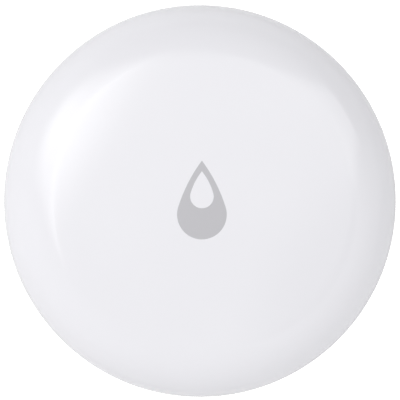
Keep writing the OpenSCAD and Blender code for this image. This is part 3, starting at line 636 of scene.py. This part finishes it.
cap_r, cap_foot = 8.8, 0.56
cap_in_r, cap_under = cap_r - sheet_t, cell_h - sheet_t
cap_line = np.array(rounded([
    (0, cap_under, 0), (cap_in_r - 0.1, cap_under, 0.25), (cap_in_r, cap_under - 0.4, 0.05),
    (cap_in_r, cap_foot, 0), (cap_r, cap_foot, 0), (cap_r, cell_h - 0.34, 0.25),
    (cap_r - 0.34, cell_h, 0.25), (0, cell_h, 0)], closed=False)) + (0, cell_z)
cap = skin("coin_cell_cap_shell", lathe(cap_line, 256))
settled(cap, cell_steel, "cell", "cell_steel", "coin_cell_cap")
dressed("coin_cell_gasket", dull_resin("gasket_plastic", (0.02, 0.02, 0.02), (0.04, 0.04, 0.04), 0.4, 0.55))
dressed("coin_cell_pellet", dull_resin("cell_filling", (0.02, 0.02, 0.022), (0.05, 0.05, 0.05), 0.7, 0.9))


# Seal of the battery door
# An O-ring of dark silicone that sits in the groove of the door's plug and slides in the bay's bore.
door_seal_z, door_seal_r, door_seal_t = 2.825, 11.78, 0.9
door_seal_line = arc((door_seal_r, door_seal_z), door_seal_t / 2, 0, 360, 32)[:-1]
door_ring = skin("door_seal_ring", lathe(door_seal_line, 256), ring=True)
settled(door_ring, seal_rubber, "door_seal", "seal_rubber", "battery_door_seal")


# Battery door
# A round white moulding that screws into the bay by three helical lugs. Its plug carries the seal,
# and its outer face has a slot for a coin and a sunk arrow that meets the base's lock marks.
door_r, plug_r, plug_top_z = 13.41, 12.16, 3.65
groove_r, groove_z, groove_top_z = 11.3, 2.345, 3.305
door_line = rounded([
    (0, base_z, 0), (door_r, base_z, 0.22), (door_r, door_seat_z, 0.1), (plug_r, door_seat_z, 0.05),
    (plug_r, groove_z, 0.05), (groove_r, groove_z, 0.05), (groove_r, groove_top_z, 0.05),
    (plug_r, groove_top_z, 0.05),
    (plug_r, plug_top_z, 0.15), (bay_cell_r, plug_top_z, 0.15), (bay_cell_r, door_seat_z, 0.1),
    (0, door_seat_z, 0)], closed=False)
door = skin("battery_door_disc", lathe(door_line))


def stadium(length, width, grow, z, steps=24):
    """Outline of a slot with round ends: half circles of radius width / 2 + grow around its two ends."""
    end_x, radius = (length - width) / 2, width / 2 + grow
    right, left = arc((end_x, 0), radius, -90, 90, steps), arc((-end_x, 0), radius, 90, 270, steps)
    outline = np.concatenate([right, left])
    return np.column_stack([outline, np.full(len(outline), z)])


slot_l, slot_w, slot_depth = 14.0, 1.8, 0.8
slot_loops = np.stack([stadium(slot_l, slot_w, grow, base_z + dz) for grow, dz in (
    (0.42, -0.2), (0.16, 0.0), (0.05, 0.08), (0.0, 0.2), (0.0, slot_depth - 0.2),
    (-0.06, slot_depth - 0.06), (-0.2, slot_depth))])
arrow_l, arrow_tip, arrow_deep = 1.8, door_r - 0.7, 0.2
arrow_back, arrow_half = arrow_tip - arrow_l, arrow_l * 0.6
arrow = np.array([(arrow_tip, 0.0), (arrow_back, arrow_half), (arrow_back, -arrow_half)])
arrow_middle = arrow.mean(0)
arrow_loops = np.stack([
    np.column_stack([arrow_middle + (arrow - arrow_middle) * grow, np.full(3, base_z + dz)])
    for grow, dz in ((1.2, -0.15), (1.08, 0.0), (1.0, 0.06), (0.94, arrow_deep))])
lug_half, lug_reach = 9, 1.2
lugs = [skin("lug", helix(-lug_half, lug_half, door_r - 0.4, door_r + lug_reach, lug_z, lug_t, a))
        for a in lug_angles]
worked(door, lugs, [skin("slot", slot_loops), skin("arrow", moved(arrow_loops, lock_angle, 0.0))])
settled(door, base_plastic, "door", "base_plastic", "battery_door")


# Seal under the cover
# A flat ring of soft dark silicone that lies on the collar. The cover's rib presses on it, and it
# lifts the cover again after a press.
cover_seal_in_r, cover_seal_out_r, cover_seal_top_z = 21.8, 23.1, collar_top_z + 1.0
cover_seal_line = rounded([(cover_seal_in_r, collar_top_z, 0.2), (cover_seal_out_r, collar_top_z, 0.2),
                           (cover_seal_out_r, cover_seal_top_z, 0.3), (cover_seal_in_r, cover_seal_top_z, 0.3)])
cover_ring = skin("cover_seal_ring", lathe(cover_seal_line), ring=True)
settled(cover_ring, seal_rubber, "base", "seal_rubber", "cover_seal")
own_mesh(cover_ring)


# Top cover
# The polished white dome, moulded in one piece: a shallow crown, a round shoulder and a straight
# skirt. A post with webs stands over the switch, a rib over the seal, and hooks hold it to the collar.
body_h = 15.0
crown_edge_r = 18.75
crown_slope = 5.5
crown_r = crown_edge_r / math.sin(math.radians(crown_slope))
shoulder_round = (body_r - crown_edge_r) / (1 - math.sin(math.radians(crown_slope)))
shoulder_r = body_r - shoulder_round
shoulder_z = (body_h - crown_r * (1 - math.cos(math.radians(crown_slope)))
              - shoulder_round * math.cos(math.radians(crown_slope)))
cover_z = shoulder_z - 2.0
cover_wall = 1.5
skirt_in_r = body_r - cover_wall
rib_in_r, rib_out_r, rib_z = cover_seal_in_r, cover_seal_out_r, cover_seal_top_z
post_r, post_z = 1.5, 11.95
mark_t = 0.15


def crown_height(x, y, depth=0.0):
    """Height of a sphere of radius crown_r - depth under the crown's middle, at (x, y)."""
    return body_h - crown_r + np.sqrt((crown_r - depth) ** 2 - x ** 2 - y ** 2)


def drop_loop(w, h, side_r, tip_y, shrink=0.0):
    """Outline of a drop as columns points around its belly's centre, with the tip straight up.

    Around the belly the distance is its radius. Towards the tip it is where the ray u meets the bowed
    side, a circle of radius side_r around s: u.s + sqrt((u.s)^2 - s.s + side_r^2)."""
    belly = w / 2
    tip = h - belly
    side_y = (tip ** 2 + belly ** 2 - 2 * side_r * belly) / (2 * tip)
    side_x = math.sqrt((side_r - belly) ** 2 - side_y ** 2)
    a = np.arange(columns) * 2 * math.pi / columns
    u = np.stack([np.cos(a), np.sin(a)], axis=1)
    side = np.stack([-side_x * np.sign(u[:, 0]), np.full(columns, side_y)], axis=1)
    along_side = (u * side).sum(1)
    to_side = along_side + np.sqrt(along_side ** 2 - (side ** 2).sum(1) + side_r ** 2)
    touch = math.atan2(-side_y, side_x)
    above = np.arcsin(np.clip(u[:, 1], -1, 1)) > touch
    reach = np.where(above, to_side, belly)
    reach[columns // 4] = tip
    return u * (reach - shrink)[:, None] + (0.0, tip_y - tip)


drop_tip_y = 5.0
drop_outer = (6.3, 10.0, 20.0, drop_tip_y)
drop_inner = (3.0, 4.7, 8.0, drop_tip_y - 1.35)
outer_edge, inner_edge = drop_loop(*drop_outer), drop_loop(*drop_inner)
clear_middle = np.repeat([[0.0, drop_inner[3] - drop_inner[1] + drop_inner[0] / 2]], columns, axis=0)
plain_r = 8.0
plain_circle = lathe([(plain_r, 0.0)])[0, :, :2]


def on_crown(start, end, shares, depth=0.0):
    """Loops between two outlines, start + share * (end - start), laid on the crown at a depth."""
    share = np.asarray(shares, float)[:, None, None]
    flat = start[None] + share * (end - start)[None]
    return np.concatenate([flat, crown_height(flat[..., :1], flat[..., 1:], depth)], axis=-1)


tenths = np.linspace(0, 1, 11)
crown_radii = np.linspace(plain_r, crown_edge_r, 19)[1:]
crown_line = np.column_stack([crown_radii, crown_height(crown_radii, 0.0)])
shoulder_line = arc((shoulder_r, shoulder_z), shoulder_round, 90 - crown_slope, 0, 44)[1:]
inner_shoulder = shoulder_round - cover_wall


def inner_arc(r_start, r_end, steps):
    """Points on the shoulder's inner circle between two radii from the axis."""
    start, end = (math.degrees(math.acos((r - shoulder_r) / inner_shoulder)) for r in (r_start, r_end))
    return arc((shoulder_r, shoulder_z), inner_shoulder, start, end, steps)


inner_tangent_r = shoulder_r + inner_shoulder * math.sin(math.radians(crown_slope))
under_radii = np.linspace(inner_tangent_r, post_r, 14)[1:]
skirt_line = rounded([(body_r, shoulder_z, 0), (body_r, cover_z, 0.3), (skirt_in_r, cover_z, 0.12),
                      (skirt_in_r, shoulder_z, 0)], closed=False)[1:]
cover_under = np.concatenate([
    inner_arc(skirt_in_r - 1e-6, rib_out_r, 8)[1:],
    rounded([(rib_out_r, rib_z + 0.8, 0), (rib_out_r, rib_z, 0.2), (rib_in_r, rib_z, 0.2),
             (rib_in_r, rib_z + 0.8, 0)], closed=False)[1:-1],
    inner_arc(rib_in_r, inner_tangent_r, 16),
    np.column_stack([under_radii, crown_height(under_radii, 0.0, cover_wall)]),
    rounded([(post_r, post_z + 0.6, 0), (post_r, post_z, 0.2), (0, post_z, 0)], closed=False),
])
cover_loops = np.concatenate([
    on_crown(clear_middle, inner_edge, tenths),
    on_crown(inner_edge, outer_edge, np.linspace(0, 1, 7), mark_t),
    on_crown(outer_edge, plain_circle, tenths ** 1.5),
    lathe(crown_line), lathe(shoulder_line), lathe(skirt_line), lathe(cover_under),
])
cover = skin("top_cover_dome", cover_loops)
web_reach, web_t, web_z = 3.0, 1.0, 12.7
web_top_z = body_h - cover_wall / 2
web_l = 2 * (post_r + web_reach)
hook_tip_r, hook_z, hook_ramp_z, hook_top_z = 22.6, 5.9687, 6.3687, 6.7187
hook_root_r = skirt_in_r + 0.2
hook_line = [(hook_root_r, hook_z), (skirt_in_r, hook_z), (hook_tip_r, hook_ramp_z), (hook_tip_r, hook_top_z),
             (hook_root_r, hook_top_z)]
hook_angle = math.degrees(hook_w / skirt_in_r)
lamp_y, glow_r, glow_wall, glow_z = 8.5, 1.5, 0.8, 11.0
glow_top_z = body_h - (crown_r - math.sqrt(crown_r ** 2 - lamp_y ** 2)) - glow_wall
glow_line = [(0, glow_z), (glow_r, glow_z), (glow_r, glow_top_z), (0, glow_top_z)]
glow_loops = lathe(glow_line, 64) + (0, lamp_y, 0)
cover_joined = [skin("web", bar(web_l, web_t, web_z, web_top_z)),
                skin("web", bar(web_t, web_l, web_z, web_top_z))]
cover_joined += [skin("hook", sector(hook_line, hook_angle, a)) for a in hook_angles]
worked(cover, cover_joined, [skin("glow_well", glow_loops)])

cover_plastic, tree, shader, place = finish_of("cover_plastic", IOR=1.5)
skin_out = use(tree, moulded_skin, Place=place, Grain=900.0, Flow=90.0)
tree.links.new(blended(tree, skin_out["Tone"], (0.801, 0.797, 0.832), (0.816, 0.812, 0.847)),
               shader.inputs["Base Color"])
tree.links.new(between(tree, skin_out["Tone"], 0.05, 0.07), shader.inputs["Roughness"])
bumped(tree, shader, skin_out["Height"], 0.000002, 0.3)
settled(cover, cover_plastic, "cover", "cover_plastic", "top_cover")


# Drop mark
# The sign for water, printed in pale grey ink and flush with the crown: a round belly, two bowed
# sides, and a smaller clear drop inside. The ink is a little duller than the plastic around it.
ink_gap, ink_low = 0.004, 0.003
ink_outer, ink_inner = drop_loop(*drop_outer, shrink=ink_gap), drop_loop(*drop_inner, shrink=-ink_gap)
ink_loops = np.concatenate([
    on_crown(ink_outer, ink_inner, tenths, ink_low),
    on_crown(ink_inner, ink_outer, tenths, mark_t - ink_low),
])
ink = skin("drop_mark_print", ink_loops, ring=True)
mark_ink, tree, shader, place = finish_of("mark_ink", IOR=1.48)
skin_out = use(tree, moulded_skin, Place=place, Grain=6000.0, Flow=700.0)
tree.links.new(blended(tree, skin_out["Height"], (0.495, 0.490, 0.515), (0.515, 0.510, 0.535)),
               shader.inputs["Base Color"])
tree.links.new(between(tree, skin_out["Tone"], 0.24, 0.27), shader.inputs["Roughness"])
bumped(tree, shader, skin_out["Height"], 0.000002, 0.3)
settled(ink, mark_ink, "cover", "mark_ink", "drop_mark")


# Studio
# A white acrylic light table under the sensor, a large softbox at the upper left, a weaker one at
# the right and a panel overhead, in a pale room that is darker behind the sensor and at its right.
table_side = 1.6
table_mesh = bpy.data.meshes.new("light_table")
half_side = table_side / 2
table_mesh.from_pydata([(-half_side, -half_side, 0), (half_side, -half_side, 0),
                        (half_side, half_side, 0), (-half_side, half_side, 0)], [], [(0, 1, 2, 3)])
table = bpy.data.objects.new("light_table", table_mesh)
bpy.context.scene.collection.objects.link(table)

# The acrylic lets light through from below under the sensor, so that its underside is lit. Seen
# from above it is as white as the room except in the sensor's own shade, and from below it is clear
white_acrylic, tree, shader, place = finish_of(
    "white_acrylic", Base_Color=(0.86, 0.86, 0.86, 1.0), Roughness=0.7, Specular_IOR_Level=0.1)
level = linked(tree, "ShaderNodeVectorMath", {0: place, 1: (1.0, 1.0, 0.0)}, operation="MULTIPLY")
from_axis = linked(tree, "ShaderNodeVectorMath", {0: level.outputs[0]}, operation="LENGTH")
lit_through = linked(tree, "ShaderNodeMapRange", {
    "Value": from_axis.outputs["Value"], "From Min": 0.0215, "From Max": 0.025,
    "To Min": 1.0, "To Max": 0.0}, interpolation_type="SMOOTHSTEP")
shaded = linked(tree, "ShaderNodeMapRange", {
    "Value": from_axis.outputs["Value"], "From Min": 0.0195, "From Max": 0.027,
    "To Min": 0.12, "To Max": 1.0}, interpolation_type="SMOOTHSTEP")
path = linked(tree, "ShaderNodeLightPath")
clear_above = linked(tree, "ShaderNodeMix", {
    "Factor": path.outputs["Is Camera Ray"], 2: lit_through.outputs[0], 3: shaded.outputs[0]})
side = linked(tree, "ShaderNodeNewGeometry")
clear = linked(tree, "ShaderNodeMath", {0: clear_above.outputs[0], 1: side.outputs["Backfacing"]},
               operation="MAXIMUM")
through = linked(tree, "ShaderNodeBsdfTransparent")
sheet = linked(tree, "ShaderNodeMixShader", {
    0: clear.outputs[0], 1: shader.outputs[0], 2: through.outputs[0]})
tree.links.new(sheet.outputs[0], tree.nodes["Material Output"].inputs["Surface"])
table_mesh.materials.append(white_acrylic)


def towards(azimuth, off_vertical):
    """Unit vector at an azimuth from +X and an angle off the vertical, in degrees."""
    a, p = math.radians(azimuth), math.radians(off_vertical)
    return (math.sin(p) * math.cos(a), math.sin(p) * math.sin(a), math.cos(p))


room = bpy.data.worlds.new("pale_room")
bpy.context.scene.world = room
room.use_nodes = True
tree = room.node_tree
looking = linked(tree, "ShaderNodeTexCoord").outputs["Generated"]
slope = linked(tree, "ShaderNodeVectorMath", {0: looking, 1: (0.07, 0.12, -0.17)}, operation="DOT_PRODUCT")
strength = linked(tree, "ShaderNodeMath", {0: slope.outputs["Value"], 1: 0.99}, operation="ADD").outputs[0]
dark_corners = ((towards(73.0, 60.7), 71.1, 0.74), (towards(333.4, 21.4), 15.6, 0.89))
for aim, wide, depth in dark_corners:
    facing = linked(tree, "ShaderNodeVectorMath", {0: looking, 1: aim}, operation="DOT_PRODUCT")
    corner = linked(tree, "ShaderNodeMapRange", {
        "Value": facing.outputs["Value"], "From Min": math.cos(math.radians(wide)),
        "From Max": math.cos(math.radians(wide * 0.35)), "To Min": 0.0, "To Max": depth},
        interpolation_type="SMOOTHSTEP")
    darker = linked(tree, "ShaderNodeMath", {0: strength, 1: corner.outputs[0]}, operation="SUBTRACT")
    strength = darker.outputs[0]
strength = linked(tree, "ShaderNodeMath", {0: strength, 1: 0.05}, operation="MAXIMUM").outputs[0]

# Below the table the room is darker, and a lamp lights the underside from one side
axes = linked(tree, "ShaderNodeSeparateXYZ", {"Vector": looking})
is_under = linked(tree, "ShaderNodeMath", {0: axes.outputs["Z"], 1: 0.0}, operation="LESS_THAN")
lit = linked(tree, "ShaderNodeMix", {"Factor": is_under.outputs[0], 2: strength, 3: 0.5})
path = linked(tree, "ShaderNodeLightPath")
seen = linked(tree, "ShaderNodeMix", {"Factor": path.outputs["Is Camera Ray"], 2: lit.outputs[0], 3: 1.7})
tree.links.new(seen.outputs[0], tree.nodes["Background"].inputs["Strength"])
tree.nodes["Background"].inputs["Color"].default_value = (1.0, 1.0, 1.0, 1.0)


def softbox(name, azimuth, off_vertical, across, along, fades, radiance, distance=12.0):
    """A flat panel that faces the sensor, across and along degrees in size as seen from it.

    Its power is pi * radiance * area, which gives that radiance in its middle. Towards both its
    ends, its upper and its lower edge it fades over the given shares of its half sizes."""
    data = bpy.data.lights.new(name, "AREA")
    data.shape = "RECTANGLE"
    data.size = 2 * distance * math.tan(math.radians(across) / 2)
    data.size_y = 2 * distance * math.tan(math.radians(along) / 2)
    data.energy = math.pi * radiance * data.size * data.size_y
    data.use_nodes = True
    tree = data.node_tree
    spot = linked(tree, "ShaderNodeNewGeometry").outputs["Parametric"]
    axes = linked(tree, "ShaderNodeSeparateXYZ", {"Vector": spot})
    glow = 1.0
    ends, upper, lower = fades
    for axis, edge, fade in (("X", 0.0, ends), ("X", 1.0, ends), ("Y", 1.0, upper), ("Y", 0.0, lower)):
        ramp = linked(tree, "ShaderNodeMapRange", {
            "Value": axes.outputs[axis], "From Min": edge, "From Max": edge + (0.5 - edge) * fade},
            interpolation_type="SMOOTHSTEP")
        glow = linked(tree, "ShaderNodeMath", {0: glow, 1: ramp.outputs[0]}, operation="MULTIPLY").outputs[0]
    tree.links.new(glow, tree.nodes["Emission"].inputs["Strength"])
    lamp = bpy.data.objects.new(name, data)
    lamp.visible_camera = False
    lamp.location = np.array(towards(azimuth, off_vertical)) * distance
    lamp.rotation_euler = (math.radians(off_vertical), 0.0, math.radians(azimuth) + math.pi / 2)
    bpy.context.scene.collection.objects.link(lamp)


softbox("left_softbox", azimuth=148.6, off_vertical=39.9, across=46.1, along=66.4,
        fades=(1.0, 0.19, 1.0), radiance=3.74)
softbox("right_softbox", azimuth=31.7, off_vertical=35.5, across=27.0, along=50.6,
        fades=(0.6, 0.64, 0.04), radiance=1.47)
softbox("overhead_panel", azimuth=90.7, off_vertical=0.4, across=37.8, along=25.8,
        fades=(0.54, 1.94, 0.02), radiance=1.04)
softbox("lamp_below", azimuth=215.0, off_vertical=128.0, across=50.0, along=50.0,
        fades=(0.5, 0.5, 0.5), radiance=4.5)
bpy.context.scene.view_settings.view_transform = "Standard"
